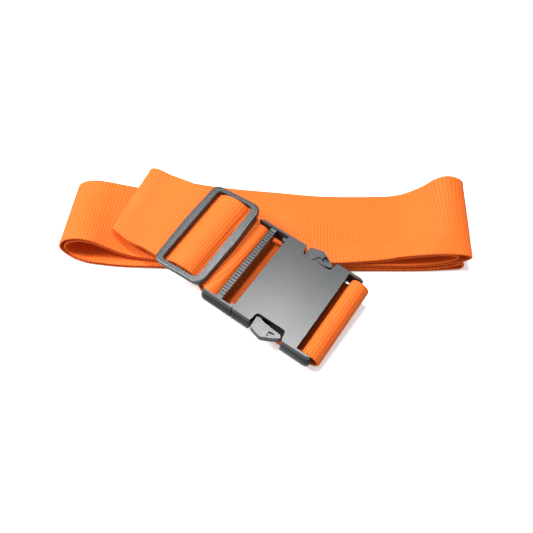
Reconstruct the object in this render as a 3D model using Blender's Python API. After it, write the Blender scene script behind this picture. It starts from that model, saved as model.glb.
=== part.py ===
"""Luggage strap: 50 mm webbing folded in a zigzag, with a side-release buckle and a slider.

Everything is in millimetres here and is scaled to metres when a mesh is made. X runs along the
folded strap, Y across it, Z up from the surface that the strap rests on. The buckle and the slider
each have a frame of their own: u along the strap, v across it, w up out of the top face.
"""

from math import asin, cos, pi, radians, sin, sqrt

import bmesh
import bpy
import numpy as np
from mathutils import Matrix, Vector

MM = 0.001

# Webbing
STRAP_WIDTH = 50.0
STRAP_THICK = 1.2
PLY_PITCH = 1.5
RUN_PITCH = 3.0
HALF_STRAP = STRAP_WIDTH / 2
FLOOR_RUN_Z = 1.4
MIDDLE_RUN_Z = FLOOR_RUN_Z + RUN_PITCH
TOP_RUN_Z = MIDDLE_RUN_Z + RUN_PITCH

# Buckle frame: the middle of the mouth's top edge, and how the buckle leans
BUCKLE_ORIGIN = (-2.4, -18.1, 20.6)
BUCKLE_YAW = -34.2
BUCKLE_SLOPES = (-0.117, 0.103)

# Buckle body
BODY_HALF = 28.4
BODY_DEEP = 9.4
PLATE_THICK = 2.0
MOUTH_HALF = 25.4
FEMALE_LENGTH = 47.6
CAVITY_END = 36.4
SLOT_START = 38.4
SLOT_HALF = 25.5
FEMALE_BAR = (43.8, 47.0, -7.6, -3.8)

MALE_START = -20.0
MALE_GAP = 0.35
MALE_BAR = (-19.0, -15.8, -7.9, -4.6)
RIBBED_BAR = (-11.0, -7.6)
RIB_COUNT = 27
RIB_DEEP = 0.6
RIB_TOP = -0.4
RIBBED_BAR_FOOT = -6.6
BEAM_END = 2.9
TONGUE_HALF = 7.0
TONGUE_END = 24.0

# Spring arms
ARM_PIVOT = (4.5, 20.0)
ARM_ROOT_RADIUS = 1.2
ARM_TOP = -2.4
ARM_BOTTOM = -7.1

# Slider
SLIDER_ORIGIN = (-31.8, 5.4, 24.0)
SLIDER_YAW = -36.0
SLIDER_SLOPES = (0.045, 0.17)
SLIDER_HALF_LENGTH = 28.6
SLIDER_HALF_END = 16.3
SLIDER_HALF_MIDDLE = 17.3
SLIDER_WINDOW = (11.9, 25.6)
SLIDER_THICK = 3.6
CENTRE_BAR = (1.5, -3.5, -1.5)

# Sewn ends: each seam's (start along u, length, height of the strap's under face, drop for each mm)
THREAD = 0.4
THREAD_GAP = 0.12
THREAD_WIDE = 0.8
SEAM_HALF = 20.0
FEMALE_SEAM = (14.0, 14.0, -12.4, 0.0)
SLIDER_SEAM = (6.2, 4.4, -9.1, 0.31)

SHARP_ANGLE = 35
EDGE_SOFTNESS = 0.2


def clear_scene():
    for obj in list(bpy.data.objects):
        bpy.data.objects.remove(obj, do_unlink=True)


def material(name, colour, roughness):
    made = bpy.data.materials.new(name)
    made.use_nodes = True
    shader = made.node_tree.nodes["Principled BSDF"]
    shader.inputs["Base Color"].default_value = (*colour, 1.0)
    shader.inputs["Roughness"].default_value = roughness
    made.diffuse_color = (*colour, 1.0)
    return made


def leaning_frame(origin, yaw, slopes):
    """A frame whose u axis has that yaw in plan. The slopes are the rise of u and of v for each mm."""
    along, across = slopes
    level = sqrt(1 - along * along)
    u = Vector((cos(radians(yaw)) * level, sin(radians(yaw)) * level, along))
    flat = Vector((0, 0, 1)).cross(u).normalized()
    up = u.cross(flat)
    lean = asin(across / up.z)
    v = flat * cos(lean) + up * sin(lean)
    w = u.cross(v)
    matrix = Matrix((u, v, w)).transposed().to_4x4()
    matrix.translation = Vector(origin)
    return matrix


BUCKLE = leaning_frame(BUCKLE_ORIGIN, BUCKLE_YAW, BUCKLE_SLOPES)
SLIDER = leaning_frame(SLIDER_ORIGIN, SLIDER_YAW, SLIDER_SLOPES)


def frame_empty(name, frame):
    empty = bpy.data.objects.new(name, None)
    bpy.context.scene.collection.objects.link(empty)
    matrix = frame.copy()
    matrix.translation = frame.translation * MM
    empty.matrix_world = matrix
    return empty


def mesh_object(name, points, faces, finish, parent=None, origin=(0, 0, 0)):
    """Points are in mm, in the parent's frame. The object's own origin is put at origin."""
    origin = Vector(origin)
    mesh = bpy.data.meshes.new(name)
    mesh.from_pydata([(Vector(p) - origin) * MM for p in points], [], faces)
    shape = bmesh.new()
    shape.from_mesh(mesh)
    bmesh.ops.recalc_face_normals(shape, faces=shape.faces)
    for face in shape.faces:
        face.smooth = True
    shape.to_mesh(mesh)
    shape.free()
    mesh.set_sharp_from_angle(angle=radians(SHARP_ANGLE))
    mesh.materials.append(finish)
    obj = bpy.data.objects.new(name, mesh)
    bpy.context.scene.collection.objects.link(obj)
    obj.parent = parent
    obj.location = origin * MM
    return obj


def stack(levels):
    """Points and faces of a solid whose outlines, all with the same number of points, lie at heights."""
    points = []
    faces = []
    count = len(levels[0][1])
    for height, outline in levels:
        points += [(u, v, height) for u, v in outline]
    for level in range(len(levels) - 1):
        for i in range(count):
            a = level * count + i
            b = level * count + (i + 1) % count
            faces.append((a, b, b + count, a + count))
    faces.append(tuple(range(count)))
    faces.append(tuple(range(len(points) - count, len(points))))
    return points, faces


def box(u, v, w):
    """The stack of a plain box, from pairs of limits."""
    outline = [(u[0], v[0]), (u[1], v[0]), (u[1], v[1]), (u[0], v[1])]
    return stack([(w[0], outline), (w[1], outline)])


def rounded_outline(corners, steps=5):
    """An outline with its corners rounded. Each corner is (u, v, radius)."""
    outline = []
    count = len(corners)
    for i, (u, v, radius) in enumerate(corners):
        here = Vector((u, v))
        back = (Vector(corners[i - 1][:2]) - here).normalized()
        ahead = (Vector(corners[(i + 1) % count][:2]) - here).normalized()
        half = back.angle(ahead) / 2
        reach = radius / np.tan(half)
        start = here + back * reach
        end = here + ahead * reach
        for step in range(steps + 1):
            t = step / steps
            bend = start * (1 - t) ** 2 + here * 2 * t * (1 - t) + end * t**2
            outline.append((bend.x, bend.y))
    return outline


def combine(obj, operation, name, points, faces):
    tool = mesh_object(name, points, faces, obj.data.materials[0], obj.parent)
    tool.hide_render = True
    tool.display_type = "WIRE"
    step = obj.modifiers.new(name, "BOOLEAN")
    step.operation = operation
    step.object = tool
    step.solver = "EXACT"


def cut(obj, name, points, faces):
    combine(obj, "DIFFERENCE", name, points, faces)


def add(obj, name, points, faces):
    combine(obj, "UNION", name, points, faces)


def soften(obj):
    bevel = obj.modifiers.new("soft_edges", "BEVEL")
    bevel.width = EDGE_SOFTNESS * MM
    bevel.segments = 2
    bevel.limit_method = "ANGLE"
    bevel.angle_limit = radians(SHARP_ANGLE)


def side_profile():
    """(height, inset from the body's half width) down the side: lip, groove, then the lower flange."""
    return [
        (0.0, 1.8),
        (-0.4, 1.35),
        (-1.7, 1.25),
        (-2.2, 1.6),
        (-4.5, 1.6),
        (-5.5, 0.3),
        (-6.2, 0.0),
        (-8.4, 0.1),
        (-BODY_DEEP, 0.9),
    ]


def body_levels(start, end, start_radius, end_radius):
    levels = []
    for height, inset in side_profile():
        half = BODY_HALF - inset
        trim = 0.35 * inset
        corners = [
            (start + trim * (start_radius > 1), -half, start_radius),
            (end - trim * (end_radius > 1), -half, end_radius),
            (end - trim * (end_radius > 1), half, end_radius),
            (start + trim * (start_radius > 1), half, start_radius),
        ]
        levels.append((height, rounded_outline(corners)))
    return levels[::-1]


def round_bar(u, w, v_half, radius=1.1):
    """A bar across the buckle with rounded long edges, as points and faces."""
    corners = [
        (u[0], w[0], radius),
        (u[1], w[0], radius),
        (u[1], w[1], radius),
        (u[0], w[1], radius),
    ]
    section = rounded_outline(corners, 3)
    points = [(a, side * v_half, b) for side in (-1, 1) for a, b in section]
    count = len(section)
    faces = [(i, (i + 1) % count, (i + 1) % count + count, i + count) for i in range(count)]
    faces += [tuple(range(count)), tuple(range(count, 2 * count))]
    return points, faces


def window_outline(side):
    """The side window that an arm's head stands in, cut through both plates and the wall."""
    corners = [
        (10.4, 31.0, 0.1),
        (11.9, 21.0, 1.6),
        (29.0, 21.0, 1.6),
        (31.2, 31.0, 0.1),
    ]
    return [(u, side * v) for u, v in rounded_outline(corners, 4)]


def female_housing(finish, parent):
    points, faces = stack(body_levels(0.0, FEMALE_LENGTH, 0.5, 3.2))
    obj = mesh_object("female_housing", points, faces, finish, parent)
    mouth = box((-2, CAVITY_END), (-MOUTH_HALF, MOUTH_HALF), (-BODY_DEEP + 1.9, -PLATE_THICK))
    cut(obj, "mouth_cut", *mouth)
    for side, name in ((-1, "near_window_cut"), (1, "far_window_cut")):
        outline = window_outline(side)
        cut(obj, name, *stack([(-12, outline), (2, outline)]))
    slot = box((SLOT_START, 60), (-SLOT_HALF, SLOT_HALF), (-12, 2))
    cut(obj, "slot_cut", *slot)
    bar = round_bar(FEMALE_BAR[:2], FEMALE_BAR[2:], SLOT_HALF + 0.8)
    add(obj, "end_bar_add", *bar)
    soften(obj)
    return obj


def ribbed_bar():
    """The toothed bar, as one section along v pushed along u."""
    half = MOUTH_HALF - 0.6
    end = SLOT_HALF + 0.8
    top = RIB_TOP
    pitch = 2 * half / RIB_COUNT
    section = [(end, RIBBED_BAR_FOOT), (-end, RIBBED_BAR_FOOT), (-end, top)]
    for rib in range(RIB_COUNT):
        start = -half + rib * pitch
        section += [
            (start + 0.10 * pitch, top),
            (start + 0.50 * pitch, top),
            (start + 0.62 * pitch, top - RIB_DEEP),
            (start + 0.98 * pitch, top - RIB_DEEP),
        ]
    section.append((end, top))
    points = [(u, v, w) for u in RIBBED_BAR for v, w in section]
    count = len(section)
    faces = [(i, (i + 1) % count, (i + 1) % count + count, i + count) for i in range(count)]
    faces += [tuple(range(count)), tuple(range(count, 2 * count))]
    return points, faces


def male_frame(finish, parent):
    points, faces = stack(body_levels(MALE_START, -MALE_GAP, 3.2, 0.5))
    obj = mesh_object("male_frame", points, faces, finish, parent)
    opening = box((-60, 20), (-SLOT_HALF, SLOT_HALF), (-12, 2))
    cut(obj, "opening_cut", *opening)
    add(obj, "ribbed_bar_add", *ribbed_bar())
    bar = round_bar(MALE_BAR[:2], MALE_BAR[2:], SLOT_HALF + 0.8)
    add(obj, "end_bar_add", *bar)
    inner = MOUTH_HALF - 0.4
    for side in (-1, 1):
        web = sorted((side * (inner - 1.9), side * inner))
        add(obj, f"web_add_{side + 1}", *box((-2.6, BEAM_END), web, (ARM_BOTTOM, ARM_TOP)))
        bridge = sorted((side * (inner - 0.5), side * (SLOT_HALF + 0.8)))
        add(obj, f"bridge_add_{side + 1}", *box((-2.6, -MALE_GAP - 0.2), bridge, (-6.9, -2.7)))
    beam = box((0.8, BEAM_END), (-inner + 0.2, inner - 0.2), (ARM_BOTTOM + 0.05, ARM_TOP - 0.05))
    add(obj, "beam_add", *beam)
    tongue_corners = [
        (BEAM_END - 1.0, -TONGUE_HALF, 0.3),
        (TONGUE_END - 6, -TONGUE_HALF, 3.0),
        (TONGUE_END, -TONGUE_HALF + 4, 2.0),
        (TONGUE_END, TONGUE_HALF - 4, 2.0),
        (TONGUE_END - 6, TONGUE_HALF, 3.0),
        (BEAM_END - 1.0, TONGUE_HALF, 0.3),
    ]
    tongue = rounded_outline(tongue_corners, 3)
    add(obj, "tongue_add", *stack([(-6.3, tongue), (-3.2, tongue)]))
    soften(obj)
    return obj


def arm_outline(side):
    """One spring arm in plan, in mirror image for the other side: root, beam, shoulder, head, tip."""
    pivot_u, pivot_v = ARM_PIVOT
    outline = []
    for step in range(7):
        turn = pi / 2 + pi * step / 6
        u = pivot_u + ARM_ROOT_RADIUS * cos(turn)
        outline.append((u, pivot_v + ARM_ROOT_RADIUS * sin(turn)))
    head = [
        (pivot_u, pivot_v - ARM_ROOT_RADIUS, 0.01),
        (11.5, 19.4, 3.0),
        (15.8, 22.2, 2.0),
        (27.9, 23.5, 0.9),
        (29.2, 24.9, 0.7),
        (25.4, 27.6, 3.0),
        (19.8, 30.6, 3.6),
        (12.7, 28.6, 0.9),
        (12.2, 22.6, 0.8),
        (pivot_u, pivot_v + ARM_ROOT_RADIUS, 0.01),
    ]
    outline += rounded_outline(head, 4)[5:-5]
    return [(u, side * v) for u, v in outline]


def arm_step(side):
    """The sunken strip along the head's inner edge, between its front block and its tip."""
    corners = [(16.4, 20.5, 0.1), (19.6, 26.0, 0.6), (25.2, 25.4, 0.6), (25.6, 20.5, 0.1)]
    return [(u, side * v) for u, v in rounded_outline(corners, 2)]


def arm_pocket(side):
    corners = [(21.7, 25.0, 0.4), (24.9, 24.4, 0.4), (25.6, 26.6, 0.4), (22.3, 28.4, 0.4)]
    return [(u, side * v) for u, v in rounded_outline(corners, 2)]


def spring_arm(name, side, finish, parent):
    outline = arm_outline(side)
    middle_u = sum(u for u, v in outline) / len(outline)
    middle_v = sum(v for u, v in outline) / len(outline)
    shrunk = [(u + (middle_u - u) * 0.02, v + (middle_v - v) * 0.05) for u, v in outline]
    levels = [
        (ARM_BOTTOM, shrunk),
        (ARM_BOTTOM + 0.4, outline),
        (ARM_TOP - 0.4, outline),
        (ARM_TOP, shrunk),
    ]
    points, faces = stack(levels)
    pivot = (ARM_PIVOT[0], side * ARM_PIVOT[1], (ARM_TOP + ARM_BOTTOM) / 2)
    obj = mesh_object(name, points, faces, finish, parent, pivot)
    step = arm_step(side)
    cut(obj, name + "_step_cut", *stack([(ARM_TOP - 0.6, step), (1, step)]))
    pocket = arm_pocket(side)
    cut(obj, name + "_pocket_cut", *stack([(ARM_TOP - 1.8, pocket), (1, pocket)]))
    return obj


def slider_outline(inset):
    end = SLIDER_HALF_END - inset
    middle = SLIDER_HALF_MIDDLE - inset
    length = SLIDER_HALF_LENGTH - inset
    corners = [
        (-end, -length, 4.8),
        (end, -length, 5.6),
        (middle, 0, 4.0),
        (end, length, 6.2),
        (-end, length, 4.4),
        (-middle, 0, 4.0),
    ]
    return rounded_outline(corners)


def slider_window(inset):
    across, along = SLIDER_WINDOW
    corners = [
        (-across - inset, -along - inset, 2.4),
        (across + inset, -along - inset, 3.4),
        (across + inset, along + inset, 3.4),
        (-across - inset, along + inset, 2.4),
    ]
    return rounded_outline(corners)


def slider_frame(finish, parent):
    levels = [
        (-SLIDER_THICK, slider_outline(0.5)),
        (-SLIDER_THICK + 0.5, slider_outline(0.0)),
        (-0.6, slider_outline(0.0)),
        (-0.15, slider_outline(0.25)),
        (0.0, slider_outline(0.6)),
    ]
    obj = mesh_object("slider_frame", *stack(levels), finish, parent)
    opening = [
        (-SLIDER_THICK - 0.5, slider_window(0.6)),
        (-SLIDER_THICK + 0.4, slider_window(0.0)),
        (-0.4, slider_window(0.0)),
        (0.4, slider_window(0.6)),
    ]
    cut(obj, "slider_window_cut", *stack(opening))
    half, low, high = CENTRE_BAR
    bar = round_bar((-half, half), (low, high), SLIDER_WINDOW[1] + 0.8, 0.7)
    add(obj, "centre_bar_add", *bar)
    return obj


def line(near, far, pitch=PLY_PITCH, lead=0.0):
    """A line across the strap: both ends, the ply pitch, and how far the outer ply runs on past."""
    return (*near, *far, pitch, lead)


def frame_station(frame, u, w, shift=0.0):
    """A line across the strap at (u, w) in a frame."""
    near = frame @ Vector((u, shift - HALF_STRAP, w))
    far = frame @ Vector((u, shift + HALF_STRAP, w))
    return line(near, far)


def smooth_path(stations, steps):
    """The stations joined by cubic spans, as arrays of near points, far points, pitch and lead."""
    rows = np.array(stations, float)
    middle = (rows[:, 0:3] + rows[:, 3:6]) / 2
    span = np.linalg.norm(np.diff(middle, axis=0), axis=1)
    slope = np.diff(rows, axis=0) / span[:, None]
    tangent = np.empty_like(rows)
    tangent[0], tangent[-1] = slope[0], slope[-1]
    before, after = span[:-1, None], span[1:, None]
    tangent[1:-1] = (slope[:-1] * after + slope[1:] * before) / (before + after)
    path = []
    for i, length in enumerate(span):
        for step in range(steps):
            t = step / steps
            path.append(
                rows[i] * (2 * t**3 - 3 * t**2 + 1)
                + tangent[i] * (t**3 - 2 * t**2 + t) * length
                + rows[i + 1] * (3 * t**2 - 2 * t**3)
                + tangent[i + 1] * (t**3 - t**2) * length
            )
    path.append(rows[-1])
    path = np.array(path)
    return path[:, 0:3], path[:, 3:6], path[:, 6:7], path[:, 7:8]


def edge_normals(near, far):
    """The way out of the strap's face, at the near edge and at the far edge."""
    ruling = far - near
    normals = []
    for edge in (near, far):
        normal = np.cross(np.gradient(edge, axis=0), ruling)
        normals.append(normal / np.linalg.norm(normal, axis=1)[:, None])
    return normals


def doubled(near, far, pitch, lead, steps=6):
    """Both plies of a doubled strap as one strip: out on one side, a half turn at the end, and back."""
    normal_near, normal_far = edge_normals(near, far)
    further = lead / 2 * np.array([1.0, 0.0, 0.0])
    apart_near = normal_near * pitch / 2 + further
    apart_far = normal_far * pitch / 2 + further
    out = near + apart_near, far + apart_far
    back = near - apart_near, far - apart_far
    turns = []
    for edge, normal in ((near, normal_near), (far, normal_far)):
        onward = edge[-1] - edge[-2]
        onward = onward / np.linalg.norm(onward)
        turn = np.linspace(0, pi, steps + 1)[1:-1, None]
        turns.append(edge[-1] + (normal[-1] * np.cos(turn) + onward * np.sin(turn)) * pitch[-1] / 2)
    return [np.concatenate([out[k], turns[k], back[k][::-1]]) for k in (0, 1)]


def strip_object(name, near, far, finish):
    """A strip of webbing as one closed solid, with its thickness shared by both faces."""
    normal_near, normal_far = edge_normals(near, far)
    out_near = normal_near * STRAP_THICK / 2
    out_far = normal_far * STRAP_THICK / 2
    rows = np.stack([near + out_near, far + out_far, far - out_far, near - out_near], axis=1)
    points = [tuple(p) for p in rows.reshape(-1, 3)]
    faces = []
    for i in range(len(near) - 1):
        for k in range(4):
            a, b = 4 * i + k, 4 * i + (k + 1) % 4
            faces.append((a, b, b + 4, a + 4))
    last = 4 * (len(near) - 1)
    faces += [(0, 1, 2, 3), (last, last + 1, last + 2, last + 3)]
    return mesh_object(name, points, faces, finish)


def folded_run_stations():
    """The middle of the doubled strap, from the slider's left side to the turn at the lower right."""
    floor, middle, top = FLOOR_RUN_Z, MIDDLE_RUN_Z, TOP_RUN_Z
    return [
        # upper strand, from the slider to the slanting fold
        frame_station(SLIDER, -21.5, -5.1),
        frame_station(SLIDER, -27.5, -5.2),
        line((-78.0, 7.8, 13.7), (-57.0, 54.0, 18.9)),
        line((-84.8, 13.6, 14.1), (-65.6, 59.2, 18.8)),
        # slanting fold
        line((-87.2, 16.2, 12.9), (-69.4, 61.8, 16.2)),
        line((-84.6, 15.2, 10.9), (-67.2, 60.6, 13.4)),
        # top run
        line((-76.0, 13.6, 9.5), (-60.0, 59.5, 11.6)),
        line((-62.0, 12.0, 7.9), (-46.0, 57.4, 8.6)),
        line((-40.0, 9.0, top), (-30.0, 55.0, top)),
        line((0.0, 2.0, top), (5.0, 50.2, top)),
        line((34.0, -4.0, top), (36.0, 46.8, top)),
        line((50.0, -3.2, 7.5), (51.0, 46.6, top)),
        line((66.0, -2.5, 8.7), (66.0, 46.7, top)),
        line((75.0, -2.3, 10.7), (75.5, 46.9, 7.6)),
        line((84.0, -2.2, 12.1), (84.0, 47.1, 10.0)),
        line((90.0, -2.2, 12.8), (90.2, 47.3, 13.6)),
        # right loop, where the outer ply runs on past the inner one
        line((95.0, -2.2, 13.1), (95.2, 47.4, 17.8), 1.6, 0.5),
        line((99.5, -2.1, 13.0), (98.6, 47.5, 21.7), 1.7, 1.2),
        line((103.4, -2.0, 12.6), (102.6, 47.5, 24.0), 1.8, 2.2),
        line((108.0, -2.0, 11.7), (108.2, 47.5, 23.2), 2.0, 4.0),
        line((110.2, -2.0, 10.1), (112.0, 47.5, 19.6), 2.2, 5.0),
        line((108.0, -2.2, 8.2), (111.2, 47.6, 14.4), 2.0, 4.0),
        line((103.0, -2.6, 6.9), (106.5, 47.6, 9.6), 1.8, 2.0),
        line((96.0, -3.0, 5.6), (97.5, 47.6, 6.6), 1.6, 0.6),
        # middle run, back to the left
        line((86.0, -3.3, 4.7), (86.0, 47.8, 4.9)),
        line((60.0, -3.4, middle), (60.0, 47.2, middle)),
        line((0.0, -2.4, middle), (0.0, 47.8, middle)),
        line((-45.0, -0.6, middle), (-42.0, 50.6, middle)),
        line((-66.0, 1.4, middle), (-62.0, 53.4, middle)),
        line((-79.0, 3.4, 5.7), (-76.0, 55.4, 5.7)),
        line((-91.0, 5.4, 10.4), (-90.0, 56.2, 8.6), 1.6),
        # left loop
        line((-99.0, 6.2, 14.6), (-99.0, 56.6, 10.5), 1.8),
        line((-106.5, 6.4, 15.7), (-106.5, 56.8, 10.8), 2.1),
        line((-112.8, 6.6, 13.4), (-112.0, 56.8, 8.9), 2.4),
        line((-115.5, 6.6, 9.0), (-114.2, 56.8, 6.2), 2.6),
        line((-112.8, 5.6, 4.5), (-112.0, 56.4, 3.6), 2.4),
        line((-105.0, 2.8, 1.9), (-105.0, 55.8, 1.9), 1.7),
        # floor run, to the right
        line((-92.0, 0.4, floor), (-92.0, 54.2, floor)),
        line((-60.0, -1.8, floor), (-60.0, 49.6, floor)),
        line((0.0, -3.0, floor), (0.0, 47.4, floor)),
        line((60.0, -3.8, floor), (60.0, 46.6, floor)),
        line((92.0, -3.6, floor), (92.0, 46.8, floor)),
        line((101.0, -3.2, 2.0), (101.0, 47.2, 2.0), 2.3),
        line((105.5, -2.9, 2.5), (105.5, 47.4, 2.5), 3.1),
        line((108.7, -2.7, 3.1), (108.7, 47.6, 3.1), 4.2),
    ]


def folded_run(finish):
    near, far = doubled(*smooth_path(folded_run_stations(), 4))
    return strip_object("webbing_folded_run", near, far, finish)


def slider_pass(finish):
    """The upper ply through the slider: under the left bar, over the centre bar, under the right bar."""
    path = [
        (-21.2, -4.4),
        (-14.0, -4.6),
        (-11.4, -4.1),
        (-7.4, -1.0),
        (-2.5, 0.9),
        (2.0, 1.1),
        (6.5, -0.6),
        (10.4, -4.0),
        (13.0, -4.7),
        (16.4, -4.75),
    ]
    near, far = smooth_path([frame_station(SLIDER, u, w) for u, w in path], 4)[:2]
    return strip_object("webbing_slider_pass", near, far, finish)


def sewn_end(finish):
    """The strap's end, turned round the centre bar and sewn back under itself."""
    path = [
        (8.0, -6.9),
        (4.4, -5.3),
        (3.1, -2.6),
        (1.4, -0.8),
        (-1.4, -0.8),
        (-3.1, -2.6),
        (-2.2, -5.2),
        (1.5, -7.1),
        (6.0, -8.4),
        (12.5, -10.4),
    ]
    stations = [frame_station(BUCKLE, -21.8, -8.9)]
    stations += [frame_station(SLIDER, u, w) for u, w in path]
    near, far = smooth_path(stations, 4)[:2]
    return strip_object("webbing_sewn_end", near, far, finish)


def male_loop(finish):
    """From the slider over the male end bar, down its slot and back left under the bar."""
    stations = [
        frame_station(SLIDER, 17.3, -4.7, -0.4),
        frame_station(BUCKLE, -19.2, -3.4),
        frame_station(BUCKLE, -16.0, -3.1),
        frame_station(BUCKLE, -13.6, -3.9),
        frame_station(BUCKLE, -12.2, -5.8),
        frame_station(BUCKLE, -12.8, -8.0),
        frame_station(BUCKLE, -15.2, -9.2),
        frame_station(BUCKLE, -18.8, -9.2),
        frame_station(BUCKLE, -21.3, -9.1),
    ]
    near, far = smooth_path(stations, 4)[:2]
    return strip_object("webbing_male_loop", near, far, finish)


def lower_strand(finish):
    """The lower ply, from the folded run under the slider and the male half to the female half."""
    stations = [
        frame_station(SLIDER, -21.2, -5.9),
        frame_station(SLIDER, -15.0, -6.9),
        frame_station(SLIDER, -7.0, -9.2),
        frame_station(SLIDER, 2.0, -11.1),
        frame_station(SLIDER, 12.0, -12.6),
        frame_station(BUCKLE, -18.0, -11.9, -0.6),
        frame_station(BUCKLE, -4.0, -11.8, -1.0),
        frame_station(BUCKLE, 10.0, -11.8, -1.0),
    ]
    near, far = smooth_path(stations, 3)[:2]
    return strip_object("webbing_lower_strand", near, far, finish)


def female_loop(finish):
    """Round the female end bar: out underneath, over the top, down the slot and back, sewn together."""
    path = [
        (10.4, -11.85),
        (30.0, -11.85),
        (42.0, -11.75),
        (47.6, -10.6),
        (50.6, -8.0),
        (51.2, -4.9),
        (49.2, -2.2),
        (45.6, -1.1),
        (42.6, -2.2),
        (41.3, -5.4),
        (41.2, -8.4),
        (39.9, -10.0),
        (36.5, -10.35),
        (12.0, -10.35),
    ]
    near, far = smooth_path([frame_station(BUCKLE, u, w) for u, w in path], 4)[:2]
    return strip_object("webbing_female_loop", near, far, finish)


def seam(name, frame, place, finish):
    """A rectangle of sewing thread on the strap's under face, as one closed ring."""
    start, length, face, drop = place
    points = []
    for inset in (0, THREAD_WIDE):
        near, far = start + inset, start + length - inset
        side = SEAM_HALF - inset
        for depth in (THREAD_GAP, THREAD_GAP + THREAD):
            for u, v in ((near, -side), (far, -side), (far, side), (near, side)):
                points.append(tuple(frame @ Vector((u, v, face - depth - drop * (u - start)))))
    faces = []
    for i in range(4):
        j = (i + 1) % 4
        faces += [(i, j, j + 4, i + 4), (i + 8, i + 12, j + 12, j + 8)]
        faces += [(i, i + 8, j + 8, j), (i + 4, j + 4, j + 12, i + 12)]
    return mesh_object(name, points, faces, finish)


def build():
    clear_scene()
    webbing = material("orange_webbing", (1.0, 0.19, 0.012), 0.85)
    plastic = material("grey_plastic", (0.095, 0.105, 0.11), 0.42)
    thread = material("orange_thread", (0.9, 0.16, 0.01), 0.7)
    buckle = frame_empty("buckle_frame", BUCKLE)
    slider = frame_empty("slider_frame_axis", SLIDER)
    folded_run(webbing)
    slider_pass(webbing)
    sewn_end(webbing)
    male_loop(webbing)
    lower_strand(webbing)
    female_loop(webbing)
    female_housing(plastic, buckle)
    male_frame(plastic, buckle)
    spring_arm("spring_arm_near", -1, plastic, buckle)
    spring_arm("spring_arm_far", 1, plastic, buckle)
    slider_frame(plastic, slider)
    seam("female_end_seam", BUCKLE, FEMALE_SEAM, thread)
    seam("slider_end_seam", SLIDER, SLIDER_SEAM, thread)


build()
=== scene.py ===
"""Luggage strap: the woven webbing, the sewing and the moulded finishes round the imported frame.

Lengths are in millimetres until a mesh is made. The buckle and the slider each have a frame of their
own: u along the strap, v across it, w up out of the top face. The whole strap is one long path, cut
into pieces where it passes between moving bodies, so that its ribs and its shading run on unbroken.
"""

from math import asin, cos, pi, radians, sin, sqrt

import bpy
import numpy as np
from mathutils import Matrix, Vector


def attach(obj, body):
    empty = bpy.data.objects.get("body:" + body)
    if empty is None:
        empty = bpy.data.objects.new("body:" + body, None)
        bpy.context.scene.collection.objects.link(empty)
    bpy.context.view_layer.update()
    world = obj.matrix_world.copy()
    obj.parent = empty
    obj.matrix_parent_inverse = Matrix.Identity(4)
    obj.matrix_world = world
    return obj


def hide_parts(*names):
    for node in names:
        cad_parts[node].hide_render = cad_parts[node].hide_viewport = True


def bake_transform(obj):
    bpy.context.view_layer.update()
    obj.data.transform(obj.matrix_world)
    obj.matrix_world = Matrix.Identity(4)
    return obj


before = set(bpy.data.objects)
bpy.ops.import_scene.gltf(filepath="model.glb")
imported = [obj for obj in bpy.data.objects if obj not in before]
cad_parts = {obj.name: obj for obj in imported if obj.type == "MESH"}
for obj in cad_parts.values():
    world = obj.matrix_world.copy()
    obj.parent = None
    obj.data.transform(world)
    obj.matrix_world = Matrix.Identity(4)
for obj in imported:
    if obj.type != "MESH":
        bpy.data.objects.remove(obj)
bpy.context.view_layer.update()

MM = 0.001

# Webbing
STRAP_WIDTH = 50.0
HALF_STRAP = STRAP_WIDTH / 2
HALF_THICK = 0.6
PLY_PITCH = 1.5
FLOOR_RUN_Z = 1.4
MIDDLE_RUN_Z = 4.4
TOP_RUN_Z = 7.4
RIB_PITCH = 1.78
ROWS_PER_RIB = 4
RIB_HEIGHT = 0.038
SCALLOP = 0.09
EDGE_ROUND = 0.9
FACE_COLUMNS = (0.0, 0.22, 0.5, 0.9, 3.0, 9.0, 17.0, 25.0, 33.0, 41.0, 47.0, 49.1, 49.5, 49.78, 50.0)
PATH_STEPS = 24
PATH_SMOOTHING = 0.5

# Cuts of the webbing
FOLD_ROWS = 260
WINDOW_CUT = 0.66
TURN_CUT = 4.5
LOWER_CUT = 25.0

# Buckle and slider frames
BUCKLE_ORIGIN = (-2.4, -18.1, 20.6)
BUCKLE_YAW = -34.2
BUCKLE_SLOPES = (-0.117, 0.103)
SLIDER_ORIGIN = (-31.8, 5.4, 24.0)
SLIDER_YAW = -36.0
SLIDER_SLOPES = (0.045, 0.17)

# Stitches
STITCH_PITCH = 2.6
STITCH_LENGTH = 2.0
STITCH_RADIUS = 0.24
STITCH_SIDES = 8
STITCH_RINGS = 6
SEAM_HALF_WIDTH = 20.0

# Seams: height of the webbing's under face, first u, length along u, and fall for each mm of u
FEMALE_SEAM = (-12.45, 14.0, 14.0, 0.0)
SLIDER_SEAM = (-9.1, 6.2, 4.4, 0.31)

# Shading of the moulded parts: faces that meet at more than this angle keep a sharp edge
SHARP_ANGLE = 32
WELD_DISTANCE = 2e-6

# Stage: lights as name, place in metres, size in metres and power in watts
FLOOR_HALF = 3.0
FLOOR_LEVEL = -0.00012
WORLD_STRENGTH = 0.32
LIGHTS = (
    ("overhead", (0.05, 0.10, 0.81), 0.12, 3.4),
    ("key", (-0.85, 0.10, 0.95), 0.45, 16.0),
    ("slider_glint", (-0.25, 0.29, 0.74), 0.10, 1.8),
)

# Camera
CAMERA_ELEVATION = 53.0
CAMERA_DISTANCE = 0.342
FOCAL_PIXELS = 600.0
IMAGE_PIXELS = 533.0
SENSOR = 36.0


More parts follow.
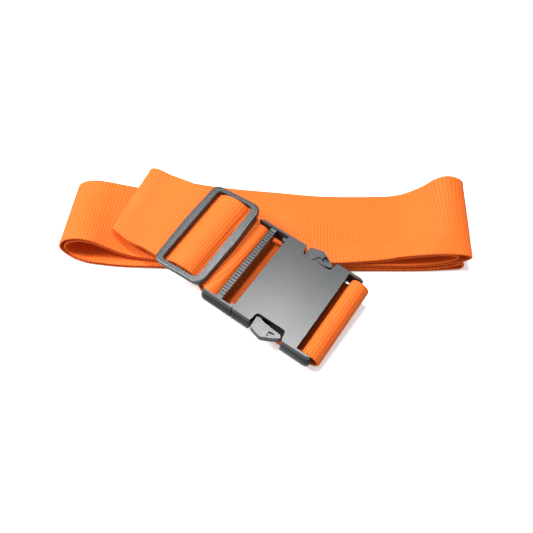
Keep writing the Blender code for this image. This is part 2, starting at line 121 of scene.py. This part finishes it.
def leaning_frame(origin, yaw, slopes):
    """A frame whose u axis has that yaw in plan. The slopes are the rise of u and of v for each mm."""
    along, across = slopes
    level = sqrt(1 - along * along)
    u = Vector((cos(radians(yaw)) * level, sin(radians(yaw)) * level, along))
    flat = Vector((0, 0, 1)).cross(u).normalized()
    up = u.cross(flat)
    lean = asin(across / up.z)
    v = flat * cos(lean) + up * sin(lean)
    w = u.cross(v)
    matrix = Matrix((u, v, w)).transposed().to_4x4()
    matrix.translation = Vector(origin)
    return matrix


BUCKLE = leaning_frame(BUCKLE_ORIGIN, BUCKLE_YAW, BUCKLE_SLOPES)
SLIDER = leaning_frame(SLIDER_ORIGIN, SLIDER_YAW, SLIDER_SLOPES)


def line(near, far, pitch=PLY_PITCH, lead=0.0):
    """A line across the strap: both ends, the ply pitch, and how far the outer ply runs on past."""
    return (*near, *far, pitch, lead)


def station(place, u, w, shift=0.0):
    """A line across the strap at (u, w) in a frame."""
    near = place @ Vector((u, shift - HALF_STRAP, w))
    far = place @ Vector((u, shift + HALF_STRAP, w))
    return line(near, far)


def smooth_path(stations):
    """The stations joined by cubic spans, as arrays of near points, far points, pitch and lead."""
    rows = np.array(stations, float)
    middle = (rows[:, 0:3] + rows[:, 3:6]) / 2
    span = np.linalg.norm(np.diff(middle, axis=0), axis=1)
    slope = np.diff(rows, axis=0) / span[:, None]
    tangent = np.empty_like(rows)
    tangent[0], tangent[-1] = slope[0], slope[-1]
    before, after = span[:-1, None], span[1:, None]
    tangent[1:-1] = (slope[:-1] * after + slope[1:] * before) / (before + after)
    path = []
    for i, length in enumerate(span):
        for step in range(PATH_STEPS):
            t = step / PATH_STEPS
            path.append(
                rows[i] * (2 * t**3 - 3 * t**2 + 1)
                + tangent[i] * (t**3 - 2 * t**2 + t) * length
                + rows[i + 1] * (3 * t**2 - 2 * t**3)
                + tangent[i + 1] * (t**3 - t**2) * length
            )
    path.append(rows[-1])
    path = np.array(path)
    return path[:, 0:3], path[:, 3:6], path[:, 6:7], path[:, 7:8]


def edge_normals(near, far):
    ruling = far - near
    normals = []
    for edge in (near, far):
        normal = np.cross(np.gradient(edge, axis=0), ruling)
        normals.append(normal / np.linalg.norm(normal, axis=1)[:, None])
    return normals


def doubled(near, far, pitch, lead, steps=16):
    """Both plies of a doubled strap as one path: out on one side, a half turn at the end, and back."""
    normal_near, normal_far = edge_normals(near, far)
    further = lead / 2 * np.array([1.0, 0.0, 0.0])
    apart_near = normal_near * pitch / 2 + further
    apart_far = normal_far * pitch / 2 + further
    out = near + apart_near, far + apart_far
    back = near - apart_near, far - apart_far
    turns = []
    for edge, normal in ((near, normal_near), (far, normal_far)):
        onward = edge[-1] - edge[-2]
        onward = onward / np.linalg.norm(onward)
        turn = np.linspace(0, pi, steps + 1)[1:-1, None]
        turns.append(edge[-1] + (normal[-1] * np.cos(turn) + onward * np.sin(turn)) * pitch[-1] / 2)
    return [np.concatenate([out[k], turns[k], back[k][::-1]]) for k in (0, 1)]


def folded_run_stations():
    """The middle of the doubled strap, from the slider's left side to the turn at the lower right."""
    floor, middle, top = FLOOR_RUN_Z, MIDDLE_RUN_Z, TOP_RUN_Z
    return [
        # upper strand, from the slider to the slanting fold
        station(SLIDER, -21.5, -5.1),
        station(SLIDER, -27.5, -5.2),
        line((-78.0, 7.8, 13.7), (-57.0, 54.0, 18.9)),
        line((-84.8, 13.6, 14.1), (-65.6, 59.2, 18.8)),
        # slanting fold
        line((-87.2, 16.2, 12.9), (-69.4, 61.8, 16.2)),
        line((-84.6, 15.2, 10.9), (-67.2, 60.6, 13.4)),
        # top run
        line((-76.0, 13.6, 9.5), (-60.0, 59.5, 11.6)),
        line((-62.0, 12.0, 7.9), (-46.0, 57.4, 8.6)),
        line((-40.0, 9.0, top), (-30.0, 55.0, top)),
        line((0.0, 2.0, top), (5.0, 50.2, top)),
        line((34.0, -4.0, top), (36.0, 46.8, top)),
        line((50.0, -3.2, 7.5), (51.0, 46.6, top)),
        line((66.0, -2.5, 8.7), (66.0, 46.7, top)),
        line((75.0, -2.3, 10.7), (75.5, 46.9, 7.6)),
        line((84.0, -2.2, 12.1), (84.0, 47.1, 10.0)),
        line((90.0, -2.2, 12.8), (90.2, 47.3, 13.6)),
        # right loop, where the outer ply runs on past the inner one
        line((95.0, -2.2, 13.1), (95.2, 47.4, 17.8), 1.6, 0.5),
        line((99.5, -2.1, 13.0), (98.6, 47.5, 21.7), 1.7, 1.2),
        line((103.4, -2.0, 12.6), (102.6, 47.5, 24.0), 1.8, 2.2),
        line((108.0, -2.0, 11.7), (108.2, 47.5, 23.2), 2.0, 4.0),
        line((110.2, -2.0, 10.1), (112.0, 47.5, 19.6), 2.2, 5.0),
        line((108.0, -2.2, 8.2), (111.2, 47.6, 14.4), 2.0, 4.0),
        line((103.0, -2.6, 6.9), (106.5, 47.6, 9.6), 1.8, 2.0),
        line((96.0, -3.0, 5.6), (97.5, 47.6, 6.6), 1.6, 0.6),
        # middle run, back to the left
        line((86.0, -3.3, 4.7), (86.0, 47.8, 4.9)),
        line((60.0, -3.4, middle), (60.0, 47.2, middle)),
        line((0.0, -2.4, middle), (0.0, 47.8, middle)),
        line((-45.0, -0.6, middle), (-42.0, 50.6, middle)),
        line((-66.0, 1.4, middle), (-62.0, 53.4, middle)),
        line((-79.0, 3.4, 5.7), (-76.0, 55.4, 5.7)),
        line((-91.0, 5.4, 10.4), (-90.0, 56.2, 8.6), 1.6),
        # left loop
        line((-99.0, 6.2, 14.6), (-99.0, 56.6, 10.5), 1.8),
        line((-106.5, 6.4, 15.7), (-106.5, 56.8, 10.8), 2.1),
        line((-112.8, 6.6, 13.4), (-112.0, 56.8, 8.9), 2.4),
        line((-115.5, 6.6, 9.0), (-114.2, 56.8, 6.2), 2.6),
        line((-112.8, 5.6, 4.5), (-112.0, 56.4, 3.6), 2.4),
        line((-105.0, 2.8, 1.9), (-105.0, 55.8, 1.9), 1.7),
        # floor run, to the right
        line((-92.0, 0.4, floor), (-92.0, 54.2, floor)),
        line((-60.0, -1.8, floor), (-60.0, 49.6, floor)),
        line((0.0, -3.0, floor), (0.0, 47.4, floor)),
        line((60.0, -3.8, floor), (60.0, 46.6, floor)),
        line((92.0, -3.6, floor), (92.0, 46.8, floor)),
        line((101.0, -3.2, 2.0), (101.0, 47.2, 2.0), 2.3),
        line((105.5, -2.9, 2.5), (105.5, 47.4, 2.5), 3.1),
        line((108.7, -2.7, 3.1), (108.7, 47.6, 3.1), 4.2),
    ]


def along_frame(place, path):
    return [station(place, u, w) for u, w in path]


def female_loop_stations():
    """From the sewn tail round the female end bar and out underneath, towards the lower strand."""
    return along_frame(
        BUCKLE,
        [
            (12.0, -10.35),
            (36.5, -10.35),
            (39.9, -10.0),
            (41.2, -8.4),
            (41.3, -5.4),
            (42.6, -2.2),
            (45.6, -1.1),
            (49.2, -2.2),
            (51.2, -4.9),
            (50.6, -8.0),
            (47.6, -10.6),
            (42.0, -11.75),
            (30.0, -11.85),
            (10.4, -11.85),
        ],
    )


def lower_strand_stations():
    """The lower ply, from the female half back under the male half and the slider."""
    return [
        station(BUCKLE, 10.0, -11.8, -1.0),
        station(BUCKLE, -4.0, -11.8, -1.0),
        station(BUCKLE, -18.0, -11.9, -0.6),
        station(SLIDER, 12.0, -12.6),
        station(SLIDER, 2.0, -11.1),
        station(SLIDER, -7.0, -9.2),
        station(SLIDER, -15.0, -6.9),
        station(SLIDER, -21.2, -5.9),
    ]


def slider_pass_stations():
    """The upper ply through the slider: under the left bar, over the centre bar, under the right bar."""
    return along_frame(
        SLIDER,
        [
            (-21.2, -4.4),
            (-14.0, -4.6),
            (-11.4, -4.1),
            (-7.4, -1.0),
            (-2.5, 0.9),
            (2.0, 1.1),
            (6.5, -0.6),
            (10.4, -4.0),
            (13.0, -4.7),
        ],
    )


def male_loop_stations():
    """From the slider over the male end bar, down its slot and back under the bar."""
    return [
        station(SLIDER, 14.4, -4.7, -0.8),
        line(BUCKLE @ Vector((-20.4, -23.8, -4.3)), BUCKLE @ Vector((-20.4, 26.2, -2.9))),
        station(BUCKLE, -17.6, -3.2),
        station(BUCKLE, -15.4, -3.2),
        station(BUCKLE, -13.6, -3.9),
        station(BUCKLE, -12.2, -5.8),
        station(BUCKLE, -12.8, -8.0),
        station(BUCKLE, -15.2, -9.2),
        station(BUCKLE, -18.8, -9.2),
        station(BUCKLE, -21.3, -9.1),
    ]


def sewn_end_stations():
    """The strap's end, turned round the centre bar and sewn back under itself."""
    return along_frame(
        SLIDER,
        [
            (8.0, -6.9),
            (4.4, -5.3),
            (3.1, -2.6),
            (1.4, -0.8),
            (-1.4, -0.8),
            (-3.1, -2.6),
            (-2.2, -5.2),
            (1.5, -7.1),
            (6.0, -8.4),
            (12.5, -10.4),
        ],
    )


def gaussian_smooth(values, spacing, width):
    reach = int(4 * width / spacing) + 1
    offsets = np.arange(-reach, reach + 1) * spacing
    weights = np.exp(-0.5 * (offsets / width) ** 2)
    weights /= weights.sum()
    padded = np.concatenate([values[:1].repeat(reach, 0), values, values[-1:].repeat(reach, 0)])
    return np.stack([np.convolve(padded[:, k], weights, "valid") for k in range(values.shape[1])], 1)


class Strap:
    """The whole strap's middle surface, as rulings at even steps along its middle line."""

    def __init__(self):
        self.marks = {}
        near, far = [], []
        for name, edges in self.sections():
            self.marks[name] = sum(len(part) for part in near)
            near.append(edges[0])
            far.append(edges[1])
        near, far = np.concatenate(near), np.concatenate(far)
        middle = (near + far) / 2
        length = self.measure(middle)
        self.marks = {name: length[i] for name, i in self.marks.items()}
        step = RIB_PITCH / ROWS_PER_RIB
        even = np.arange(0, length[-1], step)
        rows = np.concatenate([near, far], axis=1)
        rows = np.stack([np.interp(even, length, rows[:, k]) for k in range(6)], 1)
        rows = gaussian_smooth(rows, step, PATH_SMOOTHING)
        self.near, self.far = rows[:, :3], rows[:, 3:]
        self.along = self.measure((self.near + self.far) / 2)

    @staticmethod
    def measure(points):
        return np.concatenate([[0], np.cumsum(np.linalg.norm(np.diff(points, axis=0), axis=1))])

    @staticmethod
    def sections():
        yield "female_loop", smooth_path(female_loop_stations())[:2]
        yield "lower_strand", smooth_path(lower_strand_stations())[:2]
        run = doubled(*smooth_path(folded_run_stations()))
        yield "folded_run", run
        yield "slider_pass", smooth_path(slider_pass_stations())[:2]
        yield "male_loop", smooth_path(male_loop_stations())[:2]
        yield "sewn_end", smooth_path(sewn_end_stations())[:2]

    def surface(self):
        """Grid of points, along and across, with rows square to the strap's edges."""
        middle = (self.near + self.far) / 2
        tangent = np.gradient(middle, axis=0)
        tangent /= np.linalg.norm(tangent, axis=1)[:, None]
        ruling = self.far - self.near
        lead = (ruling * tangent).sum(1)
        lead = gaussian_smooth(lead[:, None], RIB_PITCH / ROWS_PER_RIB, 4.0)[:, 0]
        across = np.array(FACE_COLUMNS)
        goal = np.arange(self.along[0], self.along[-1], RIB_PITCH / ROWS_PER_RIB)
        index = np.arange(len(self.along))
        grid = np.empty((len(goal), len(across), 3))
        for j, share in enumerate(across / STRAP_WIDTH):
            own = np.maximum.accumulate(self.along + (share - 0.5) * lead)
            where = np.interp(goal, own, index)
            low = np.clip(np.floor(where).astype(int), 0, len(index) - 2)
            part = (where - low)[:, None]
            point = self.near + ruling * share
            grid[:, j] = point[low] * (1 - part) + point[low + 1] * part
        along = np.repeat(goal[:, None], len(across), 1)
        return grid, along, np.repeat(across[None], len(goal), 0)


def grid_normals(grid, across):
    normal = np.cross(np.gradient(grid, axis=0), (grid[:, -1] - grid[:, 0])[:, None])
    return normal / np.maximum(np.linalg.norm(normal, axis=2, keepdims=True), 1e-9)


def waviness(along, across):
    """A slow, small rise and fall, so that the webbing doesn't lie like sheet metal."""
    edge = 2 * across / STRAP_WIDTH - 1
    slow = 0.05 * np.sin(along / 11.3 + 1.1) + 0.02 * np.sin(along / 5.7 + 2.0 * edge)
    return slow + 0.03 * edge * np.sin(along / 8.1 + 0.7)


def webbing_grid(strap):
    """Top and bottom faces of the webbing, with ribs, scalloped selvedges and rounded edges."""
    grid, along, across = strap.surface()
    normal = grid_normals(grid, across)
    phase = 2 * pi * along / RIB_PITCH
    to_edge = np.minimum(across, STRAP_WIDTH - across)
    rounding = np.sqrt(np.clip(1 - (1 - to_edge / EDGE_ROUND).clip(0) ** 2, 0, 1))
    flat = np.clip(to_edge / EDGE_ROUND, 0, 1)
    way = (grid[:, -1] - grid[:, 0]) / STRAP_WIDTH
    outward = np.where(across < HALF_STRAP, -1.0, 1.0) * (1 - flat) * SCALLOP * np.cos(phase)
    grid = grid + way[:, None] * outward[..., None] + normal * waviness(along, across)[..., None]
    rib = RIB_HEIGHT * flat * np.cos(phase)
    top = grid + normal * (HALF_THICK * rounding + rib)[..., None]
    bottom = grid - normal * (HALF_THICK * rounding - rib)[..., None]
    ring = around(top, bottom)
    weave = np.stack([around(along, along), around(across, STRAP_WIDTH + across)], axis=2)
    return ring, ring_normals(ring), weave, grid.mean(axis=1)


def around(top, bottom):
    """Rows that run over the top face from near to far and back along the bottom one."""
    return np.concatenate([top, bottom[:, ::-1][:, 1:-1]], axis=1)


def ring_normals(ring):
    onward = np.gradient(ring, axis=0)
    sideways = np.roll(ring, -1, axis=1) - np.roll(ring, 1, axis=1)
    normal = np.cross(onward, sideways)
    return normal / np.maximum(np.linalg.norm(normal, axis=2, keepdims=True), 1e-9)


def strip_mesh(name, tube, start, stop):
    """One piece of the webbing, from row start to row stop, closed at both ends.

    Its sides keep the normals of the whole strap, so that no line shows where two pieces meet.
    """
    ring, normals, weave_at = (part[start:stop] for part in tube[:3])
    count, width = ring.shape[:2]
    mesh = bpy.data.meshes.new(name)
    index = np.arange(count * width).reshape(count, width)
    right = np.roll(index, -1, axis=1)
    quads = np.stack([index[:-1], index[1:], right[1:], right[:-1]], axis=2).reshape(-1, 4)
    caps = [list(index[0]), list(index[-1][::-1])]
    mesh.from_pydata((ring.reshape(-1, 3) * MM).tolist(), [], quads.tolist() + caps)
    weave = mesh.uv_layers.new(name="weave")
    loops = np.empty(len(mesh.loops), int)
    mesh.loops.foreach_get("vertex_index", loops)
    uv = weave_at.reshape(-1, 2)[loops] * MM
    weave.data.foreach_set("uv", uv.reshape(-1).astype(np.float32))
    mesh.polygons.foreach_set("use_smooth", [True] * len(quads) + [False] * 2)
    mesh.update()
    loop_normals = normals.reshape(-1, 3)[loops]
    for cap in mesh.polygons[len(quads) :]:
        loop_normals[cap.loop_start : cap.loop_start + cap.loop_total] = cap.normal
    mesh.normals_split_custom_set(loop_normals.tolist())
    obj = bpy.data.objects.new(name, mesh)
    bpy.context.scene.collection.objects.link(obj)
    return obj


# ---------------------------------------------------------------- materials


class Graph:
    """A short way to write shader nodes."""

    def __init__(self, name):
        self.material = bpy.data.materials.new(name)
        self.material.use_nodes = True
        self.tree = self.material.node_tree
        self.shader = self.tree.nodes["Principled BSDF"]

    def node(self, kind, **settings):
        made = self.tree.nodes.new(kind)
        for key, value in settings.items():
            setattr(made, key, value)
        return made

    def link(self, source, target):
        self.tree.links.new(source, target)

    def feed(self, socket, value):
        if isinstance(value, (int, float, tuple)):
            socket.default_value = value
        else:
            self.link(value, socket)

    def math(self, operation, first, second=0.0, third=0.0, clamp=False):
        made = self.node("ShaderNodeMath", operation=operation, use_clamp=clamp)
        for socket, value in zip(made.inputs, (first, second, third)):
            self.feed(socket, value)
        return made.outputs[0]

    def wave(self, value, period, shift=0.0):
        """A cosine between 0 and 1 with that period."""
        turned = self.math("MULTIPLY_ADD", value, 2 * pi / period, shift)
        return self.math("MULTIPLY_ADD", self.math("COSINE", turned), 0.5, 0.5)

    def noise(self, scale, detail=2.0, coordinates=None, roughness=0.5):
        made = self.node("ShaderNodeTexNoise")
        made.inputs["Scale"].default_value = scale
        made.inputs["Detail"].default_value = detail
        made.inputs["Roughness"].default_value = roughness
        if coordinates is not None:
            self.link(coordinates, made.inputs["Vector"])
        return made.outputs["Fac"]

    def mix(self, share, first, second):
        made = self.node("ShaderNodeMix", data_type="RGBA")
        self.feed(made.inputs["Factor"], share)
        self.feed(made.inputs["A"], first)
        self.feed(made.inputs["B"], second)
        return made.outputs["Result"]

    def ramp(self, value, low, high):
        made = self.node("ShaderNodeMapRange")
        self.link(value, made.inputs["Value"])
        made.inputs["From Min"].default_value = low
        made.inputs["From Max"].default_value = high
        return made.outputs["Result"]

    def bump(self, height, distance, strength=1.0, normal=None):
        made = self.node("ShaderNodeBump")
        made.inputs["Distance"].default_value = distance
        made.inputs["Strength"].default_value = strength
        self.link(height, made.inputs["Height"])
        if normal is not None:
            self.link(normal, made.inputs["Normal"])
        return made.outputs["Normal"]

    def set(self, **values):
        for key, value in values.items():
            self.feed(self.shader.inputs[key.replace("_", " ")], value)
        return self.material


def rgb(red, green, blue):
    return (red, green, blue, 1.0)


# The second, darker orange is painted shade, mixed in along the rib grooves and between the yarns.
WEBBING_LIGHT = rgb(0.94, 0.168, 0.017)
WEBBING_GROOVE_SHADE = rgb(0.80, 0.110, 0.004)
YARN_PITCH = 0.00062


def webbing_material():
    g = Graph("orange_webbing")
    uv = g.node("ShaderNodeUVMap", uv_map="weave")
    split = g.node("ShaderNodeSeparateXYZ")
    g.link(uv.outputs["UV"], split.inputs[0])
    along, across = split.outputs["X"], split.outputs["Y"]
    rib = g.wave(along, RIB_PITCH * MM)
    row = g.math("FLOOR", g.math("DIVIDE", along, RIB_PITCH * MM))
    shift = g.math("MULTIPLY", row, pi)
    turned = g.math("MULTIPLY_ADD", across, 2 * pi / YARN_PITCH, shift)
    yarn = g.math("MULTIPLY_ADD", g.math("COSINE", turned), 0.5, 0.5)
    stretched = g.node("ShaderNodeMapping")
    g.link(uv.outputs["UV"], stretched.inputs["Vector"])
    stretched.inputs["Scale"].default_value = (900.0, 5200.0, 1.0)
    fibre = g.noise(1.0, 3.0, stretched.outputs["Vector"], 0.6)
    place = g.node("ShaderNodeTexCoord").outputs["Object"]
    patch = g.noise(38.0, 3.0, place)
    # The mix below paints shade into the rib grooves and between the yarns, where the weave value is low;
    # the fibre noise adds random tone on top.
    weave = g.math("MULTIPLY_ADD", yarn, 0.35, g.math("MULTIPLY", rib, 0.65))
    weave = g.math("MULTIPLY_ADD", g.math("SUBTRACT", fibre, 0.5), 0.6, weave, clamp=True)
    tone = g.mix(g.ramp(weave, 0.05, 0.75), WEBBING_GROOVE_SHADE, WEBBING_LIGHT)
    worn = g.math("MULTIPLY", g.ramp(patch, 0.52, 0.75), 0.22)
    tone = g.mix(worn, tone, rgb(0.95, 0.21, 0.035))
    height = g.math("MULTIPLY_ADD", yarn, 0.35, g.math("MULTIPLY_ADD", fibre, 0.5, rib))
    normal = g.bump(height, 0.00010, 0.5)
    return g.set(
        Base_Color=tone,
        Roughness=g.math("MULTIPLY_ADD", fibre, 0.2, 0.62),
        Normal=normal,
        Sheen_Weight=0.16,
        Sheen_Roughness=0.5,
        Sheen_Tint=rgb(1.0, 0.5, 0.25),
        Specular_IOR_Level=0.3,
    )


def plastic_material():
    g = Graph("grey_plastic")
    place = g.node("ShaderNodeTexCoord").outputs["Object"]
    grain = g.noise(5200.0, 2.0, place, 0.6)
    cloud = g.noise(55.0, 2.0, place)
    # Pointiness lightens the sharp convex edges towards pale grey: edge wear together with a painted edge
    # highlight.
    edge = g.node("ShaderNodeNewGeometry").outputs["Pointiness"]
    worn = g.math("MULTIPLY", g.ramp(edge, 0.53, 0.62), 0.35)
    tone = g.mix(cloud, rgb(0.030, 0.034, 0.037), rgb(0.038, 0.042, 0.045))
    tone = g.mix(g.math("MULTIPLY", g.ramp(grain, 0.4, 0.75), 0.3), tone, rgb(0.075, 0.082, 0.086))
    tone = g.mix(worn, tone, rgb(0.14, 0.15, 0.155))
    rough = g.math("MULTIPLY_ADD", grain, 0.08, 0.26)
    return g.set(
        Base_Color=tone,
        Roughness=rough,
        Normal=g.bump(grain, 0.00003, 0.6),
        Specular_IOR_Level=0.5,
    )


def thread_material():
    g = Graph("orange_thread")
    place = g.node("ShaderNodeTexCoord").outputs["Object"]
    twist = g.noise(4200.0, 2.0, place)
    tone = g.mix(twist, rgb(0.75, 0.08, 0.006), rgb(0.98, 0.17, 0.03))
    return g.set(Base_Color=tone, Roughness=0.6, Normal=g.bump(twist, 0.0001, 0.7), Sheen_Weight=0.2)


def floor_material():
    g = Graph("pale_floor")
    place = g.node("ShaderNodeTexCoord").outputs["Object"]
    pale = g.mix(g.noise(2.0, 2.0, place), rgb(0.93, 0.93, 0.93), rgb(0.95, 0.95, 0.95))
    seen = g.node("ShaderNodeLightPath").outputs["Is Camera Ray"]
    return g.set(
        Base_Color=g.mix(seen, rgb(0.5, 0.5, 0.5), pale),
        Roughness=0.9,
        Specular_IOR_Level=0.1,
        Emission_Color=rgb(1.0, 1.0, 1.0),
        Emission_Strength=g.math("MULTIPLY", seen, 0.45),
    )


# ---------------------------------------------------------------- pieces


def dress(obj, finish):
    obj.data.materials.clear()
    obj.data.materials.append(finish)
    return obj


def slider_u(points):
    """How far along the slider's u axis each point lies."""
    return (points - np.array(SLIDER_ORIGIN)) @ np.array(SLIDER.col[0][:3])


def webbing_cuts(strap, tube):
    """(piece, node, first row) of each piece of the webbing, in their order along the strap."""
    along = tube[2][:, 0, 0]
    mark = {name: int(np.searchsorted(along, distance)) for name, distance in strap.marks.items()}
    middle = tube[3]
    fold = slice(mark["folded_run"], mark["folded_run"] + FOLD_ROWS)
    first_crest = fold.start + int(np.argmin(middle[fold, 0]))
    fold = slice(mark["slider_pass"] - FOLD_ROWS, mark["slider_pass"])
    second_crest = fold.start + int(np.argmin(middle[fold, 0]))
    lower_start = mark["lower_strand"]
    lower = slider_u(middle[lower_start:first_crest])
    pass_rows = mark["male_loop"] - mark["slider_pass"]
    window_row = mark["slider_pass"] + int(pass_rows * WINDOW_CUT)
    turn_row = mark["sewn_end"] + int(TURN_CUT / RIB_PITCH * ROWS_PER_RIB)
    return [
        ("woven_female_loop", "webbing_female_loop", 0),
        ("woven_lower_strand", "webbing_lower_strand", lower_start),
        ("woven_lower_middle", "webbing_lower_strand", lower_start + int(np.argmax(lower < LOWER_CUT))),
        ("woven_lower_left", "webbing_lower_strand", lower_start + int(np.argmax(lower < 0))),
        ("woven_folded_run", "webbing_folded_run", first_crest),
        ("woven_slider_pass", "webbing_slider_pass", second_crest),
        ("woven_male_loop", "webbing_male_loop", window_row),
        ("woven_sewn_end", "webbing_sewn_end", turn_row),
    ]


def make_webbing(finish):
    strap = Strap()
    tube = webbing_grid(strap)
    cuts = webbing_cuts(strap, tube)
    last = len(tube[3])
    stops = [start + 1 for _, _, start in cuts[1:]] + [last]
    made = {}
    for (piece, node, start), stop in zip(cuts, stops):
        made[piece] = dress(strip_mesh(piece, tube, start, stop), finish)
        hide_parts(node)
    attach(made["woven_female_loop"], "female_half")
    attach(made["woven_folded_run"], "strap")
    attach(made["woven_sewn_end"], "slider")
    bend(made["woven_lower_strand"])
    bend(made["woven_lower_middle"])
    bend(made["woven_lower_left"])
    bend(made["woven_slider_pass"])
    bend(made["woven_male_loop"])


def bend(obj):
    """Bakes obj's transform into its mesh; obj is tied to no body."""
    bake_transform(obj)


def stitch_places(start, end):
    """(middle, direction) of each stitch between two points of a frame."""
    start, end = Vector(start), Vector(end)
    count = max(2, round((end - start).length / STITCH_PITCH))
    way = (end - start) / count
    return [(start + way * (i + 0.5), way.normalized()) for i in range(count)]


def stitch_points(middle, way):
    """Rings of one short thread, thin at both ends and sunk deepest at its middle."""
    side = way.cross(Vector((0, 0, 1))).normalized()
    up = side.cross(way)
    points = []
    for ring in range(STITCH_RINGS + 1):
        t = ring / STITCH_RINGS
        fat = STITCH_RADIUS * sqrt(max(0.06, 1 - (2 * t - 1) ** 4))
        sag = -0.14 - 0.16 * sin(pi * t)
        for k in range(STITCH_SIDES):
            a = 2 * pi * k / STITCH_SIDES
            lift = up * (sin(a) * fat + sag)
            points.append(middle + way * (t - 0.5) * STITCH_LENGTH + side * cos(a) * fat + lift)
    return points


def stitch_faces(base):
    """The sides and both ends of a thread, base being the number of its first point."""
    faces = []
    for ring in range(STITCH_RINGS):
        for k in range(STITCH_SIDES):
            a = base + ring * STITCH_SIDES + k
            b = base + ring * STITCH_SIDES + (k + 1) % STITCH_SIDES
            faces.append((a, b, b + STITCH_SIDES, a + STITCH_SIDES))
    faces.append(tuple(base + k for k in reversed(range(STITCH_SIDES))))
    faces.append(tuple(base + STITCH_RINGS * STITCH_SIDES + k for k in range(STITCH_SIDES)))
    return faces


def seam_sides(face, start, length, drop):
    """Both ends of each side of the seam's box, at height face and falling by drop for each mm of u."""
    far_u = start + length
    half = SEAM_HALF_WIDTH
    outline = [(start, -half), (far_u, -half), (far_u, half), (start, half)]
    corners = [(u, v, face - drop * (u - start)) for u, v in outline]
    return zip(corners, corners[1:] + corners[:1])


def stitches(name, place, box, finish):
    """A box of single stitches sunk in the webbing's under face, as one mesh."""
    points, faces = [], []
    for start, end in seam_sides(*box):
        for middle, way in stitch_places(start, end):
            faces += stitch_faces(len(points))
            points += [(place @ point) * MM for point in stitch_points(middle, way)]
    mesh = bpy.data.meshes.new(name)
    mesh.from_pydata(points, [], faces)
    mesh.polygons.foreach_set("use_smooth", [len(face) == 4 for face in faces])
    obj = bpy.data.objects.new(name, mesh)
    bpy.context.scene.collection.objects.link(obj)
    return dress(obj, finish)


def make_seams(finish):
    female = stitches("female_end_stitches", BUCKLE, FEMALE_SEAM, finish)
    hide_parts("female_end_seam")
    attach(female, "female_half")
    slider = stitches("slider_end_stitches", SLIDER, SLIDER_SEAM, finish)
    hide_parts("slider_end_seam")
    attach(slider, "slider")


def finish_plastics(finish):
    for name in ("female_housing", "male_frame", "spring_arm_near", "spring_arm_far", "slider_frame"):
        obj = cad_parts[name]
        dress(obj, finish)
        weld = obj.modifiers.new("weld", "WELD")
        weld.merge_threshold = WELD_DISTANCE
        obj.data.polygons.foreach_set("use_smooth", [True] * len(obj.data.polygons))
        split = obj.modifiers.new("sharp_edges", "EDGE_SPLIT")
        split.split_angle = radians(SHARP_ANGLE)
        normals = obj.modifiers.new("flat_faces_flat", "WEIGHTED_NORMAL")
        normals.keep_sharp = True


# ---------------------------------------------------------------- stage


def area_light(name, place, size, power):
    """A round light that faces the middle of the strap."""
    light = bpy.data.lights.new(name, "AREA")
    light.shape = "DISK"
    light.size = size
    light.energy = power
    obj = bpy.data.objects.new(name, light)
    bpy.context.scene.collection.objects.link(obj)
    obj.location = place
    obj.rotation_mode = "QUATERNION"
    obj.rotation_quaternion = (-Vector(place)).to_track_quat("-Z", "Y")


def make_floor():
    side = FLOOR_HALF
    corners = [(x, y, FLOOR_LEVEL) for x, y in ((-side, -side), (side, -side), (side, side), (-side, side))]
    mesh = bpy.data.meshes.new("floor")
    mesh.from_pydata(corners, [], [(0, 1, 2, 3)])
    mesh.materials.append(floor_material())
    floor = bpy.data.objects.new("floor", mesh)
    bpy.context.scene.collection.objects.link(floor)


def make_world():
    world = bpy.data.worlds.new("studio")
    world.use_nodes = True
    background = world.node_tree.nodes["Background"]
    background.inputs["Color"].default_value = rgb(1.0, 1.0, 1.0)
    background.inputs["Strength"].default_value = WORLD_STRENGTH
    bpy.context.scene.world = world


def make_stage():
    make_floor()
    make_world()
    for light in LIGHTS:
        area_light(*light)
    bpy.context.scene.view_settings.view_transform = "Standard"


def make_camera():
    data = bpy.data.cameras.new("camera")
    data.sensor_width = SENSOR
    data.lens = SENSOR * FOCAL_PIXELS / IMAGE_PIXELS
    data.clip_start = 0.01
    obj = bpy.data.objects.new("camera", data)
    bpy.context.scene.collection.objects.link(obj)
    rise = radians(CAMERA_ELEVATION)
    back = Vector((0, -cos(rise), sin(rise)))
    obj.location = back * CAMERA_DISTANCE
    obj.rotation_mode = "QUATERNION"
    obj.rotation_quaternion = (-back).to_track_quat("-Z", "Y")
    bpy.context.scene.camera = obj


make_webbing(webbing_material())
make_seams(thread_material())
finish_plastics(plastic_material())
make_stage()
make_camera()
